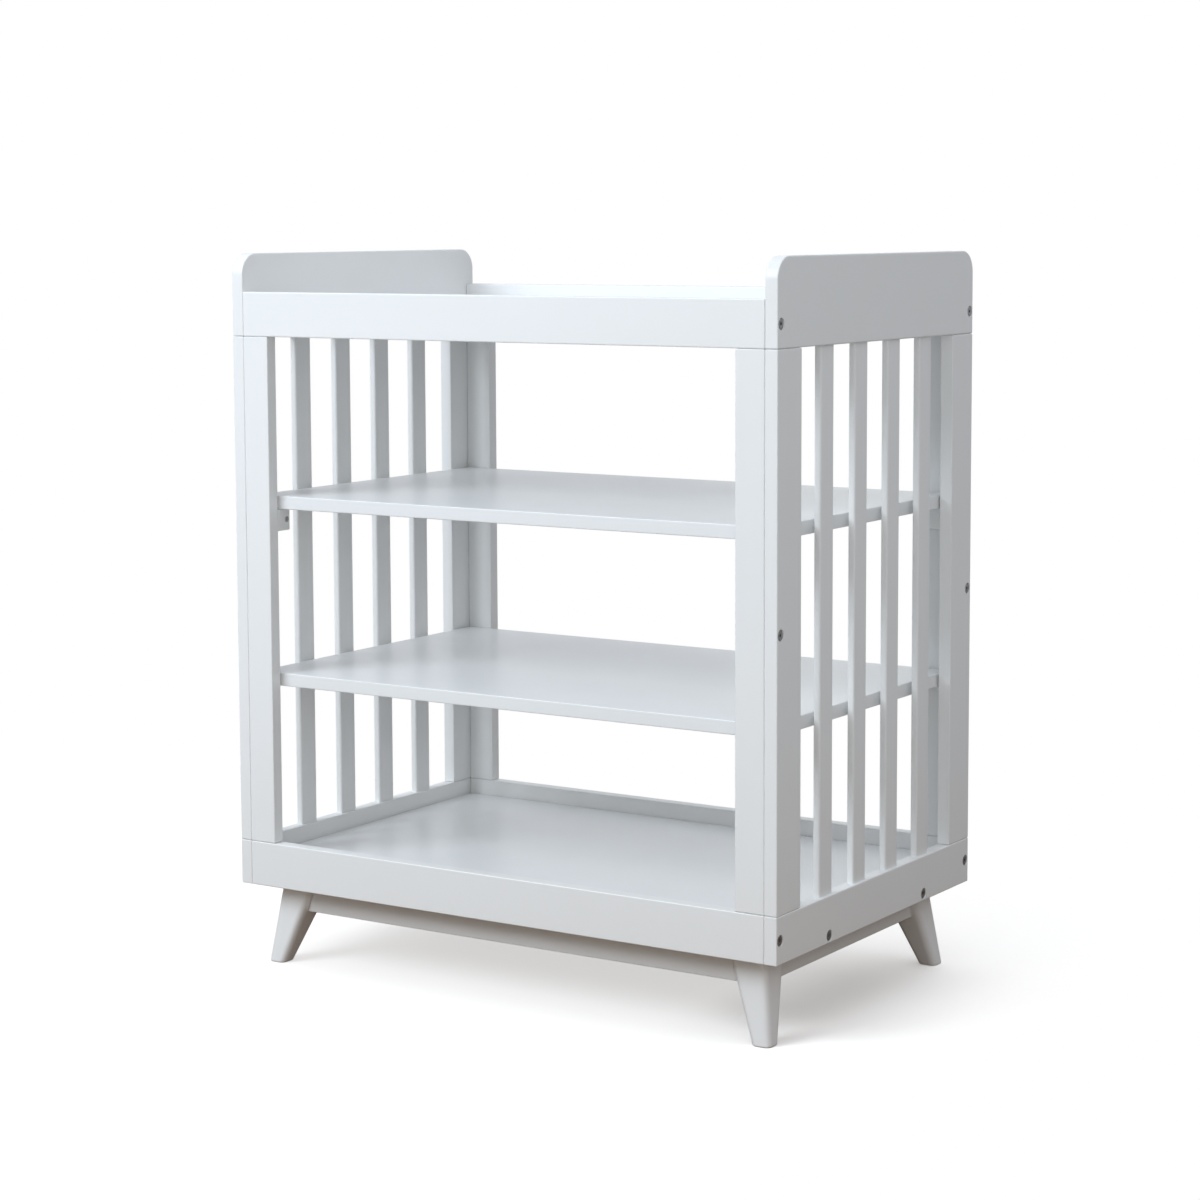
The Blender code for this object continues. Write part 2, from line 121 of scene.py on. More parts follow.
class Graph:
    """Adds nodes to one shader tree and joins them up."""

    def __init__(self, tree: bpy.types.NodeTree) -> None:
        """Start from an existing tree."""
        self.tree = tree

    def add(self, kind: str, **settings: object) -> bpy.types.Node:
        """Add one node.

        Args:
            kind: The node's type, without its ShaderNode prefix.
            settings: Properties to set on the node.

        Returns:
            The new node.
        """
        node = self.tree.nodes.new("ShaderNode" + kind)
        for name, value in settings.items():
            setattr(node, name, value)
        return node

    def feed(self, socket: bpy.types.NodeSocket, value: object) -> None:
        """Link another socket to this one, or set this one's own value.

        Args:
            socket: The input to feed.
            value: The socket to link, or the value to set.
        """
        if isinstance(value, bpy.types.NodeSocket):
            self.tree.links.new(value, socket)
        else:
            socket.default_value = value

    def math(self, operation: str, first: object, second: object = 0.0) -> bpy.types.NodeSocket:
        """Work out one sum of two values.

        Args:
            operation: The Math node's operation.
            first: The first value.
            second: The second value.

        Returns:
            The result.
        """
        node = self.add("Math", operation=operation)
        self.feed(node.inputs[0], first)
        self.feed(node.inputs[1], second)
        return node.outputs[0]

    def stretch(self, vector: bpy.types.NodeSocket, scale: object) -> bpy.types.NodeSocket:
        """Multiply a position by a vector, part by part.

        Args:
            vector: The position.
            scale: What to multiply it by.

        Returns:
            The stretched position.
        """
        node = self.add("VectorMath", operation="MULTIPLY")
        self.feed(node.inputs[0], vector)
        self.feed(node.inputs[1], scale)
        return node.outputs[0]

    def noise(self, vector: bpy.types.NodeSocket, scale: float, detail: float = 2.0) -> bpy.types.NodeSocket:
        """Sample soft noise, whose scale is in features per metre.

        Args:
            vector: Where to sample it.
            scale: How many features a metre has.
            detail: How many finer layers are added.

        Returns:
            The noise, from 0 to 1.
        """
        node = self.add("TexNoise")
        self.feed(node.inputs["Vector"], vector)
        self.feed(node.inputs["Scale"], scale)
        self.feed(node.inputs["Detail"], detail)
        return node.outputs["Fac"]

    def remap(
        self, value: object, low: float, high: float, to_low: object = 0.0, to_high: object = 1.0
    ) -> bpy.types.NodeSocket:
        """Turn the range low to high into to_low to to_high, with soft ends.

        Args:
            value: The socket to read.
            low: Where the range starts.
            high: Where the range ends.
            to_low: What low becomes.
            to_high: What high becomes.

        Returns:
            The new value, held between to_low and to_high.
        """
        node = self.add("MapRange", interpolation_type="SMOOTHSTEP")
        for name, given in (
            ("Value", value),
            ("From Min", low),
            ("From Max", high),
            ("To Min", to_low),
            ("To Max", to_high),
        ):
            self.feed(node.inputs[name], given)
        return node.outputs["Result"]

    def blend(self, share: object, first: object, second: object) -> bpy.types.NodeSocket:
        """Mix two colours: share 0 is the first, share 1 is the second.

        Args:
            share: How much of the second there is.
            first: The first colour.
            second: The second colour.

        Returns:
            The mixed colour.
        """
        node = self.add("Mix", data_type="RGBA")
        sockets = [socket for socket in node.inputs if socket.type == "RGBA"]
        self.feed(node.inputs[0], share)
        self.feed(sockets[0], first)
        self.feed(sockets[1], second)
        return next(socket for socket in node.outputs if socket.type == "RGBA")

    def place(self, group: bpy.types.NodeTree, **values: object) -> bpy.types.Node:
        """Place a shared group in this tree.

        Args:
            group: The group to place.
            values: A value or a socket for each input, named in lower case.

        Returns:
            The node that holds the group.
        """
        node = self.add("Group", node_tree=group)
        for name, value in values.items():
            self.feed(node.inputs[name.title()], value)
        return node


@dataclass(frozen=True)
class GroupSpec:
    """The name and the sockets of a shader node group that several finishes share."""

    name: str
    inputs: tuple[tuple[str, str], ...]
    outputs: tuple[tuple[str, str], ...]

    def open(self) -> tuple[Graph, dict[str, bpy.types.NodeSocket], dict[str, bpy.types.NodeSocket]]:
        """Make the empty group.

        Returns:
            A graph to build in, the group's inputs and its outputs, both by name.
        """
        tree = bpy.data.node_groups.new(self.name, "ShaderNodeTree")
        for title, kind in self.inputs:
            tree.interface.new_socket(name=title, in_out="INPUT", socket_type="NodeSocket" + kind)
        for title, kind in self.outputs:
            tree.interface.new_socket(name=title, in_out="OUTPUT", socket_type="NodeSocket" + kind)
        source = tree.nodes.new("NodeGroupInput")
        sink = tree.nodes.new("NodeGroupOutput")
        given = {title: source.outputs[title] for title, _ in self.inputs}
        made = {title: sink.inputs[title] for title, _ in self.outputs}
        return Graph(tree), given, made


class SharedEffects:
    """The shader node groups that the finishes have in common, each built once."""

    def __init__(self) -> None:
        """Build every group."""
        self.edge_wear = self._edge_wear()
        self.tone_drift = self._tone_drift()
        self.paint_film = self._paint_film()
        self.settled_dust = self._settled_dust()

    @staticmethod
    def _edge_wear() -> bpy.types.NodeTree:
        """A broken mask along the eased edges that the meshes mark.

        Returns:
            A group with the inputs Vector and Amount and the output Mask.
        """
        spec = GroupSpec("edge_wear", (("Vector", "Vector"), ("Amount", "Float")), (("Mask", "Float"),))
        graph, given, made = spec.open()
        marked = graph.add("Attribute", attribute_name=EDGE_MARK).outputs["Fac"]
        patches = graph.remap(graph.noise(given["Vector"], 45.0, 3.0), 0.40, 0.66)
        fine = graph.remap(graph.noise(given["Vector"], 420.0), 0.30, 0.62)
        broken = graph.math("MULTIPLY", patches, fine)
        mask = graph.math("MULTIPLY", graph.math("POWER", marked, 2.0), broken)
        graph.feed(made["Mask"], graph.math("MULTIPLY", mask, given["Amount"]))
        return graph.tree

    @staticmethod
    def _tone_drift() -> bpy.types.NodeTree:
        """Slow changes of tone over a painted board.

        Returns:
            A group with the inputs Vector, Base and Warm and the output Color.
        """
        spec = GroupSpec(
            "tone_drift",
            (("Vector", "Vector"), ("Base", "Color"), ("Warm", "Color")),
            (("Color", "Color"),),
        )
        graph, given, made = spec.open()
        broad = graph.remap(graph.noise(given["Vector"], 2.2, 1.0), 0.30, 0.70)
        small = graph.remap(graph.noise(given["Vector"], 19.0, 3.0), 0.35, 0.75)
        share = graph.math("MULTIPLY", graph.math("ADD", broad, small), 0.5)
        graph.feed(made["Color"], graph.blend(share, given["Base"], given["Warm"]))
        return graph.tree

    @staticmethod
    def _paint_film() -> bpy.types.NodeTree:
        """The relief and sheen of sprayed paint over planed wood.

        Returns:
            A group with the inputs Vector, Grain, Peel and Figure and the outputs Height and Sheen.
        """
        spec = GroupSpec(
            "paint_film",
            (("Vector", "Vector"), ("Grain", "Vector"), ("Peel", "Float"), ("Figure", "Float")),
            (("Height", "Float"), ("Sheen", "Float")),
        )
        graph, given, made = spec.open()
        peel = graph.noise(given["Vector"], 520.0)
        along = graph.stretch(given["Vector"], given["Grain"])
        figure = graph.noise(along, 330.0, 4.0)
        pores = graph.remap(graph.noise(along, 900.0), 0.56, 0.72)
        relief = graph.math("SUBTRACT", figure, graph.math("MULTIPLY", pores, 0.6))
        peeled = graph.math("MULTIPLY", peel, given["Peel"])
        figured = graph.math("MULTIPLY", relief, given["Figure"])
        graph.feed(made["Height"], graph.math("ADD", peeled, figured))
        cloud = graph.noise(given["Vector"], 11.0, 3.0)
        streak = graph.noise(along, 60.0)
        graph.feed(made["Sheen"], graph.math("MULTIPLY", graph.math("ADD", cloud, streak), 0.5))
        return graph.tree

    @staticmethod
    def _settled_dust() -> bpy.types.NodeTree:
        """A faint film of dust on the faces that look up.

        Returns:
            A group with the inputs Vector and Amount and the output Mask.
        """
        spec = GroupSpec("settled_dust", (("Vector", "Vector"), ("Amount", "Float")), (("Mask", "Float"),))
        graph, given, made = spec.open()
        parts = graph.add("SeparateXYZ")
        graph.feed(parts.inputs[0], graph.add("NewGeometry").outputs["Normal"])
        facing_up = graph.remap(parts.outputs["Z"], 0.75, 0.98)
        cloud = graph.remap(graph.noise(given["Vector"], 16.0, 6.0), 0.42, 0.72)
        mask = graph.math("MULTIPLY", facing_up, cloud)
        graph.feed(made["Mask"], graph.math("MULTIPLY", mask, given["Amount"]))
        return graph.tree


def opaque(colour: Colour) -> tuple[float, float, float, float]:
    """A colour with full cover."""
    return (*colour, 1.0)


@dataclass(frozen=True)
class PaintFinish:
    """White paint on wood or board.

    Attributes:
        name: The finish's name.
        slot: The record's material slot; not used.
        base: The paint's colour.
        warm: The tone that it drifts towards.
        worn: The tone where the film is thin on an edge.
        roughness: The lowest and the highest roughness over the surface.
        coat: The weight and the roughness of the clear top coat.
        peel: How much the sprayed texture stands out.
        figure: How much the wood's figure shows through.
        relief: The height of the texture.
        wear: How much thin edges show.
        dust: How much dust lies on the faces that look up.
    """

    name: str
    slot: Slot
    base: Colour = (0.884, 0.894, 0.898)
    warm: Colour = (0.880, 0.886, 0.884)
    worn: Colour = (0.760, 0.752, 0.730)
    roughness: tuple[float, float] = (0.34, 0.46)
    coat: tuple[float, float] = (0.10, 0.30)
    peel: float = 0.45
    figure: float = 0.55
    relief: float = 0.00005
    wear: float = 0.35
    dust: float = 0.20

    def material(self, effects: SharedEffects, grain: Grain) -> bpy.types.Material:
        """The finish on wood that runs one way, built the first time it is asked for.

        Args:
            effects: The shared node groups.
            grain: The way the wood runs.

        Returns:
            The material.
        """
        title = f"{self.name}_{grain.name.lower()}"
        if title in bpy.data.materials:
            return bpy.data.materials[title]
        material = bpy.data.materials.new(title)
        material.use_nodes = True
        graph = Graph(material.node_tree)
        shader = material.node_tree.nodes["Principled BSDF"]
        place = graph.add("TexCoord").outputs["Object"]
        film = graph.place(
            effects.paint_film, vector=place, grain=grain.value, peel=self.peel, figure=self.figure
        )
        drift = graph.place(
            effects.tone_drift, vector=place, base=opaque(self.base), warm=opaque(self.warm)
        )
        wear = graph.place(effects.edge_wear, vector=place, amount=self.wear).outputs["Mask"]
        dust = graph.place(effects.settled_dust, vector=place, amount=self.dust).outputs["Mask"]
        painted = graph.blend(wear, drift.outputs["Color"], opaque(self.worn))
        dusty = graph.blend(graph.math("MULTIPLY", dust, 0.25), painted, opaque((0.74, 0.73, 0.70)))
        graph.feed(shader.inputs["Base Color"], dusty)
        sheen = graph.remap(film.outputs["Sheen"], 0.35, 0.65, *self.roughness)
        matted = graph.math("ADD", sheen, graph.math("MULTIPLY", dust, 0.15))
        graph.feed(shader.inputs["Roughness"], matted)
        bump = graph.add("Bump")
        graph.feed(bump.inputs["Height"], film.outputs["Height"])
        bump.inputs["Distance"].default_value = self.relief
        bump.inputs["Strength"].default_value = 0.6
        graph.feed(shader.inputs["Normal"], bump.outputs["Normal"])
        shader.inputs["IOR"].default_value = 1.48
        shader.inputs["Coat Weight"].default_value = self.coat[0]
        shader.inputs["Coat Roughness"].default_value = self.coat[1]
        return material


@dataclass(frozen=True)
class SteelFinish:
    """Plated steel, as on bolts, screws and pins.

    Attributes:
        name: The finish's name.
        slot: The record's material slot; not used.
        bright: The plating's colour where it is rubbed.
        dull: The plating's colour elsewhere.
        roughness: The lowest and the highest roughness over the surface.
    """

    name: str
    slot: Slot = Slot.STEEL
    bright: Colour = (0.46, 0.47, 0.48)
    dull: Colour = (0.20, 0.21, 0.22)
    roughness: tuple[float, float] = (0.24, 0.46)

    def material(self, effects: SharedEffects, grain: Grain) -> bpy.types.Material:
        """The plating, built the first time it is asked for.

        Args:
            effects: The shared node groups.
            grain: The way that fine scratches run.

        Returns:
            The material.
        """
        title = f"{self.name}_{grain.name.lower()}"
        if title in bpy.data.materials:
            return bpy.data.materials[title]
        material = bpy.data.materials.new(title)
        material.use_nodes = True
        graph = Graph(material.node_tree)
        shader = material.node_tree.nodes["Principled BSDF"]
        place = graph.add("TexCoord").outputs["Object"]
        film = graph.place(effects.paint_film, vector=place, grain=grain.value, peel=0.3, figure=0.5)
        drift = graph.place(
            effects.tone_drift, vector=place, base=opaque(self.dull), warm=opaque(self.dull)
        )
        wear = graph.place(effects.edge_wear, vector=place, amount=1.0).outputs["Mask"]
        mottle = graph.remap(graph.noise(place, 700.0, 3.0), 0.40, 0.70, 0.0, 0.35)
        rubbed = graph.math("MAXIMUM", wear, mottle)
        plated = graph.blend(rubbed, drift.outputs["Color"], opaque(self.bright))
        graph.feed(shader.inputs["Base Color"], plated)
        graph.feed(shader.inputs["Roughness"], graph.remap(film.outputs["Sheen"], 0.3, 0.7, *self.roughness))
        bump = graph.add("Bump")
        graph.feed(bump.inputs["Height"], film.outputs["Height"])
        bump.inputs["Distance"].default_value = 0.00002
        graph.feed(shader.inputs["Normal"], bump.outputs["Normal"])
        shader.inputs["Metallic"].default_value = 1.0
        return material


CASE_PAINT = PaintFinish("case_paint", Slot.CASE)
SLAT_PAINT = PaintFinish("slat_paint", Slot.SLAT, roughness=(0.38, 0.48), figure=0.30)
LEG_PAINT = PaintFinish("leg_paint", Slot.LEG, roughness=(0.36, 0.48), wear=0.45, figure=0.30)
SUPPORT_PAINT = PaintFinish(
    "support_paint", Slot.SUPPORT, base=(0.810, 0.832, 0.838), roughness=(0.44, 0.58), figure=0.9
)
SHELF_LACQUER = PaintFinish(
    "shelf_lacquer",
    Slot.SHELF,
    base=(0.872, 0.888, 0.896),
    warm=(0.868, 0.881, 0.886),
    roughness=(0.31, 0.37),
    coat=(0.12, 0.22),
    peel=0.35,
    figure=0.02,
    relief=0.00002,
    wear=0.4,
    dust=0.12,
)
BOLT_STEEL = SteelFinish("bolt_steel", bright=(0.52, 0.52, 0.53), dull=(0.26, 0.26, 0.27))
SCREW_STEEL = SteelFinish(
    "screw_steel", bright=(0.66, 0.66, 0.67), dull=(0.46, 0.46, 0.47), roughness=(0.35, 0.52)
)
PIN_STEEL = SteelFinish(
    "pin_steel", bright=(0.74, 0.73, 0.70), dull=(0.56, 0.56, 0.55), roughness=(0.18, 0.32)
)
Finish = PaintFinish | SteelFinish


# ---------------------------------------------------------------- mesh making


def rounded_outline(
    centre: tuple[float, float], size: tuple[float, float], radius: float, steps: int, guard: float = 0.0
) -> Outline:
    """A rectangle's outline with round corners.

    Args:
        centre: The middle of the rectangle.
        size: Its two lengths.
        radius: The corners' radius.
        steps: How many chords a corner has.
        guard: How far from a corner's round the flats have one more point, which keeps them flat.

    Returns:
        The outline's points, anticlockwise.
    """
    points = []
    for corner, (sign_u, sign_v) in enumerate(((1, 1), (-1, 1), (-1, -1), (1, -1))):
        offset = Vector((sign_u * (size[0] / 2 - radius), sign_v * (size[1] / 2 - radius)))
        middle = Vector(centre) + offset
        arc = []
        for step in range(steps + 1):
            angle = (corner + step / steps) * math.pi / 2
            arc.append(middle + radius * Vector((math.cos(angle), math.sin(angle))))
        if guard > 0.0:
            along = Vector((math.sin(corner * math.pi / 2), -math.cos(corner * math.pi / 2)))
            arc.insert(0, arc[0] + guard * along)
            arc.append(arc[-1] + guard * Vector((along.y, -along.x)))
        points += [(point.x, point.y) for point in arc]
    return points


def add_rings(mesh: bmesh.types.BMesh, rings: Rings) -> None:
    """Join closed rings of equal point counts into a capped skin.

    Args:
        mesh: The mesh to add to.
        rings: Each ring's points, in order.
    """
    made = [[mesh.verts.new(point) for point in ring] for ring in rings]
    for first, second in zip(made, made[1:]):
        for index, vertex in enumerate(first):
            follow = (index + 1) % len(first)
            mesh.faces.new((vertex, first[follow], second[follow], second[index]))
    mesh.faces.new(made[0])
    mesh.faces.new(made[-1])


def turned(place: Vector, axis: Vector, profile: Profile, sides: int) -> list[list[Vector]]:
    """The rings of a round piece.

    Args:
        place: Where the profile's zero lies.
        axis: The direction in which the profile's lengths run.
        profile: Each ring's distance along the axis and its radius.
        sides: How many points a ring has.

    Returns:
        The rings, ready for add_rings.
    """
    rings = []
    across = axis.orthogonal().normalized()
    upright = axis.cross(across)
    for along, radius in profile:
        ring = []
        for index in range(sides):
            angle = 2 * math.pi * index / sides
            spoke = across * math.cos(angle) + upright * math.sin(angle)
            ring.append(place + axis * along + spoke * radius)
        rings.append(ring)
    return rings


def mark_edges(mesh: bmesh.types.BMesh) -> None:
    """Write how sharply the surface turns at each point, for the finishes' edge wear.

    Args:
        mesh: The mesh to mark.
    """
    layer = mesh.verts.layers.float.new(EDGE_MARK)
    full_turn = math.radians(25)
    for vertex in mesh.verts:
        turns = [edge.calc_face_angle_signed(0.0) for edge in vertex.link_edges if len(edge.link_faces) == 2]
        vertex[layer] = min(1.0, max([0.0, *turns]) / full_turn)


@dataclass
class Piece:
    """One solid of the table, from its mesh to its place in the scene.

    Attributes:
        name: The piece's name, without the prefix.
        finish: Its finish.
        grain: The way its wood runs.
        effects: The shared node groups.
        stands_for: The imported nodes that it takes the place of.
    """

    name: str
    finish: Finish
    grain: Grain
    effects: SharedEffects
    stands_for: tuple[str, ...] = ()

    def make(self, mesh: bmesh.types.BMesh, bores: Iterable[Rings] = ()) -> bpy.types.Object:
        """Turn the mesh into a finished piece that rides with the table.

        Args:
            mesh: A closed skin. It is used up.
            bores: Closed skins to cut out of it, each as rings.

        Returns:
            The piece's object.
        """
        bmesh.ops.recalc_face_normals(mesh, faces=mesh.faces)
        mark_edges(mesh)
        data = bpy.data.meshes.new(PREFIX + self.name)
        mesh.to_mesh(data)
        mesh.free()
        item = bpy.data.objects.new(PREFIX + self.name, data)
        bpy.context.scene.collection.objects.link(item)
        bores = list(bores)
        if bores:
            self._bore(item, bores)
        if not item.data.polygons:
            raise ValueError(f"{item.name} has nothing left after its bores were cut")
        item.data.materials.append(self.finish.material(self.effects, self.grain))
        self._smooth(item)
        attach(item, BODY)
        if self.stands_for:
            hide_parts(*self.stands_for)
        LOG.info("%s: %d faces, %s", item.name, len(item.data.polygons), self.finish.name)
        return item

    @staticmethod
    def _evaluated(item: bpy.types.Object) -> None:
        """Put what the modifiers make in place of the mesh.

        Args:
            item: The object to work on.
        """
        graph = bpy.context.evaluated_depsgraph_get()
        made = bpy.data.meshes.new_from_object(item.evaluated_get(graph), depsgraph=graph)
        old = item.data
        item.modifiers.clear()
        item.data = made
        bpy.data.meshes.remove(old)
        made.name = item.name

    def _bore(self, item: bpy.types.Object, bores: Sequence[Rings]) -> None:
        """Cut the bores out of the piece, and leave the marks of its own edges as they were.

        Args:
            item: The piece's object.
            bores: Closed skins to cut out, each as rings.
        """
        mesh = bmesh.new()
        for rings in bores:
            add_rings(mesh, rings)
        bmesh.ops.recalc_face_normals(mesh, faces=mesh.faces)
        data = bpy.data.meshes.new("bores")
        mesh.to_mesh(data)
        mesh.free()
        cutter = bpy.data.objects.new("bores", data)
        bpy.context.scene.collection.objects.link(cutter)
        boolean = item.modifiers.new("bores", "BOOLEAN")
        boolean.operation = "DIFFERENCE"
        boolean.solver = "EXACT"
        boolean.object = cutter
        marks = {}
        for vertex, mark in zip(item.data.vertices, item.data.attributes[EDGE_MARK].data):
            marks[vertex.co.to_tuple(6)] = mark.value
        self._evaluated(item)
        for vertex, mark in zip(item.data.vertices, item.data.attributes[EDGE_MARK].data):
            mark.value = marks.get(vertex.co.to_tuple(6), 0.0)
        bpy.data.objects.remove(cutter, do_unlink=True)
        bpy.data.meshes.remove(data)

    def _smooth(self, item: bpy.types.Object) -> None:
        """Shade the round edges smooth and keep the flat faces flat.

        Args:
            item: The piece's object.
        """
        item.data.shade_smooth()
        item.data.set_sharp_from_angle(angle=SMOOTH_ANGLE)
        weighted = item.modifiers.new("flat_faces", "WEIGHTED_NORMAL")
        weighted.keep_sharp = True
        weighted.weight = 90
        self._evaluated(item)


@dataclass(frozen=True)
class Board:
    """A sawn board with rounded edges, between two corners.

    Attributes:
        low: The lowest corner.
        high: The highest corner.
        edge: The radius of its edges.
        steps: How many faces an edge's round has.
    """

    low: Vector
    high: Vector
    edge: float = 0.0013
    steps: int = 3

    @classmethod
    def of_node(cls, node: str, **sizes: float) -> "Board":
        """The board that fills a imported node's box."""
        low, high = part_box(node)
        return cls(low, high, **sizes)

    def mesh(self, reshape: Callable[[Vector], Vector] | None = None) -> bmesh.types.BMesh:
        """Build the board.

        Args:
            reshape: Moves each corner before the edges are rounded.

        Returns:
            The closed mesh.
        """
        mesh = bmesh.new()
        size = self.high - self.low
        middle = Matrix.Translation((self.low + self.high) / 2)
        bmesh.ops.create_cube(mesh, size=1.0, matrix=middle @ Matrix.Diagonal((*size, 1.0)))
        for vertex in mesh.verts:
            if reshape is not None:
                vertex.co = reshape(vertex.co)
        flats = self._round(mesh, list(mesh.edges))
        bmesh.ops.inset_individual(mesh, faces=flats, thickness=self.edge)
        return mesh

    def _round(self, mesh: bmesh.types.BMesh, edges: list[bmesh.types.BMEdge]) -> list[bmesh.types.BMFace]:
        """Round the edges.

        Args:
            mesh: The board's mesh.
            edges: The edges to round.

        Returns:
            The six broad faces.
        """
        bmesh.ops.bevel(
            mesh,
            geom=edges,
            offset=self.edge,
            offset_type="OFFSET",
            segments=self.steps,
            profile=0.5,
            affect="EDGES",
            clamp_overlap=True,
        )
        return sorted(mesh.faces, key=lambda face: -face.calc_area())[:6]


# ---------------------------------------------------------------- fasteners


@dataclass
class ConnectorBolt:
    """A flat-headed connector bolt with a hexagon socket.

    Attributes:
        effects: The shared node groups.
        head_radius: The radius of the head.
        head_height: The height of the head.
        chamfer: The width of the bevel round the head's face.
        socket_across: The width of the hexagon across its flats.
        socket_depth: How deep the hexagon goes.
        shank_radius: The radius of the plain shank.
        thread_depth: How far the thread's roots lie below its crests.
        thread_pitch: The distance from crest to crest.
        thread_length: The length of the threaded end.
        seat_clearance: The room round the head in its counterbore.
        sides: How many points its rings have.
    """

    effects: SharedEffects
    head_radius: float = 0.0068
    head_height: float = 0.0025
    chamfer: float = 0.0007
    socket_across: float = 0.0040
    socket_depth: float = 0.0021
    shank_radius: float = 0.0030
    thread_depth: float = 0.0005
    thread_pitch: float = 0.0010
    thread_length: float = 0.022
    seat_clearance: float = 0.0006
    sides: int = 48

    def place(self, node: str) -> tuple[Vector, Vector]:
        """The middle of a packed bolt's face, and the direction from there into the wood.

        Args:
            node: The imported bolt.

        Returns:
            The point and the direction.
        """
        low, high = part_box(node)
        side = 1 if high.x > 0 else -1
        face = high.x if side > 0 else low.x
        return Vector((face, (low.y + high.y) / 2, (low.z + high.z) / 2)), Vector((-side, 0.0, 0.0))

    def counterbore(self, node: str, outer_x: float) -> list[list[Vector]]:
        """The skin to cut for a bolt's head.

        Args:
            node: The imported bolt.
            outer_x: Where the panel's outer face lies.

        Returns:
            The bore's rings, from outside the panel to the seat of the head.
        """
        face, inward = self.place(node)
        mouth = Vector((outer_x, face.y, face.z))
        radius = self.head_radius + self.seat_clearance
        seat = abs(outer_x - face.x) + self.head_height + HAIRLINE
        lip = 0.0002
        profile = (
            (-2 * CUTTER_OVERRUN, radius + lip),
            (0.0, radius + lip),
            (0.00012, radius + lip / 3),
            (0.0004, radius),
            (seat, radius),
        )
        return turned(mouth, inward, profile, self.sides)

    def _socket_ring(self, place: Vector, inward: Vector, depth: float, turn: float) -> list[Vector]:
        """A hexagon with as many points as the head's rings.

        Args:
            place: The middle of the head's face.
            inward: The direction into the wood.
            depth: How far below the face the ring lies.
            turn: How far the hexagon is turned.

        Returns:
            The ring's points.
        """
        across = inward.orthogonal().normalized()
        upright = inward.cross(across)
        sector = math.pi / 3
        ring = []
        for index in range(self.sides):
            angle = 2 * math.pi * index / self.sides
            off_flat = (angle + turn) % sector - sector / 2
            radius = self.socket_across / 2 / math.cos(off_flat)
            spoke = across * math.cos(angle) + upright * math.sin(angle)
            ring.append(place + inward * depth + spoke * radius)
        return ring

    def build(self, node: str, turn: float) -> bpy.types.Object:
        """Make one bolt.

        Args:
            node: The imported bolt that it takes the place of.
            turn: How far its socket is turned.

        Returns:
            The bolt's object.
        """
        place, inward = self.place(node)
        low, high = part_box(node)
        length = high.x - low.x
        rings = [self._socket_ring(place, inward, depth, turn) for depth in (self.socket_depth, 0.0002)]
        flat = self.head_radius - self.chamfer
        head = (
            (0.0, self.socket_across * 0.5 + 0.0007),
            (0.0, flat - 0.0002),
            (0.00012, flat),
            (self.chamfer * 0.8, self.head_radius - 0.0001),
            (self.chamfer, self.head_radius),
            (self.head_height - 0.0002, self.head_radius),
            (self.head_height, self.head_radius - 0.0002),
            (self.head_height, self.shank_radius),
            (length - self.thread_length, self.shank_radius),
        )
        rings += turned(place, inward, head + tuple(self._thread(length)), self.sides)
        mesh = bmesh.new()
        add_rings(mesh, rings)
        return Piece(node, BOLT_STEEL, Grain.UPRIGHT, self.effects, (node,)).make(mesh)

    def _thread(self, length: float) -> list[tuple[float, float]]:
        """The profile of the threaded end, with a bevelled tip.

        Args:
            length: The bolt's whole length.

        Returns:
            Distances along the bolt, and radii.
        """
        profile = []
        root = self.shank_radius - self.thread_depth
        turns = round(self.thread_length / self.thread_pitch) - 1
        start = length - self.thread_length
        for index in range(turns):
            along = start + index * self.thread_pitch
            profile.append((along + self.thread_pitch * 0.35, root))
            profile.append((along + self.thread_pitch * 0.85, self.shank_radius))
        profile.append((length - self.thread_pitch * 0.5, root))
        profile.append((length, root - self.thread_depth))
        return profile


